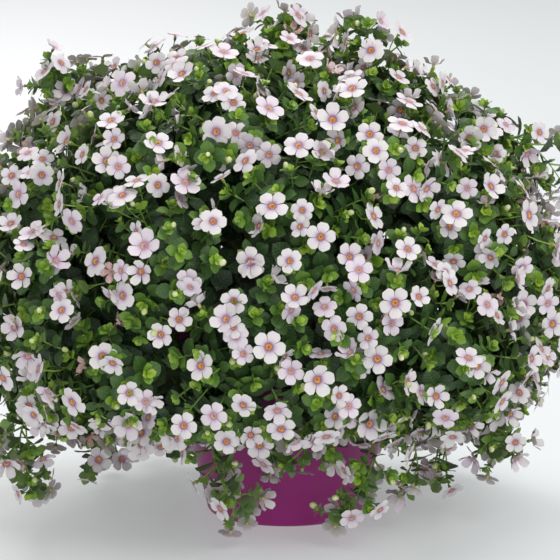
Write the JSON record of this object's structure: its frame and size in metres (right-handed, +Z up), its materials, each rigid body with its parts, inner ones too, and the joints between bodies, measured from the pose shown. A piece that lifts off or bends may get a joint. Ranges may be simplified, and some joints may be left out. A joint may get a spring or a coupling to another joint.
{
  "type": "potted bacopa",
  "caption": "White-flowered trailing bacopa, a broad leafy mound in bloom, in a smooth tapered purple pot.",
  "frame": {"origin": "middle of the pot's flat base", "axes": "+Z up, -Y towards the viewer's side, +X to that viewer's right"},
  "size_m": [0.4767, 0.4313, 0.3708],
  "materials": {
    "pot_plastic": "satin",
    "potting_soil": "matte",
    "foliage": "matte"
  },
  "bodies": {
    "root": {"pot": "pot_plastic", "soil": "potting_soil", "leafy_stem_01": "foliage", "leafy_stem_02": "foliage", "leafy_stem_03": "foliage", "leafy_stem_04": "foliage", "leafy_stem_05": "foliage", "leafy_stem_06": "foliage", "leafy_stem_07": "foliage", "leafy_stem_08": "foliage", "leafy_stem_09": "foliage", "leafy_stem_10": "foliage", "leafy_stem_11": "foliage", "leafy_stem_12": "foliage", "leafy_stem_13": "foliage", "leafy_stem_14": "foliage", "leafy_stem_15": "foliage", "leafy_stem_16": "foliage", "leafy_stem_17": "foliage", "leafy_stem_18": "foliage", "leafy_stem_19": "foliage", "leafy_stem_20": "foliage", "leafy_stem_21": "foliage", "leafy_stem_22": "foliage", "leafy_stem_23": "foliage", "leafy_stem_24": "foliage", "leafy_stem_25": "foliage", "leafy_stem_26": "foliage", "leafy_stem_27": "foliage", "leafy_stem_28": "foliage", "leafy_stem_29": "foliage", "leafy_stem_30": "foliage", "leafy_stem_31": "foliage", "leafy_stem_32": "foliage", "leafy_stem_33": "foliage", "leafy_stem_34": "foliage", "leafy_stem_35": "foliage", "leafy_stem_36": "foliage", "leafy_stem_37": "foliage", "leafy_stem_38": "foliage", "leafy_stem_39": "foliage", "leafy_stem_40": "foliage", "leafy_stem_41": "foliage", "leafy_stem_42": "foliage", "leafy_stem_43": "foliage", "leafy_stem_44": "foliage"}
  },
  "joints": []
}
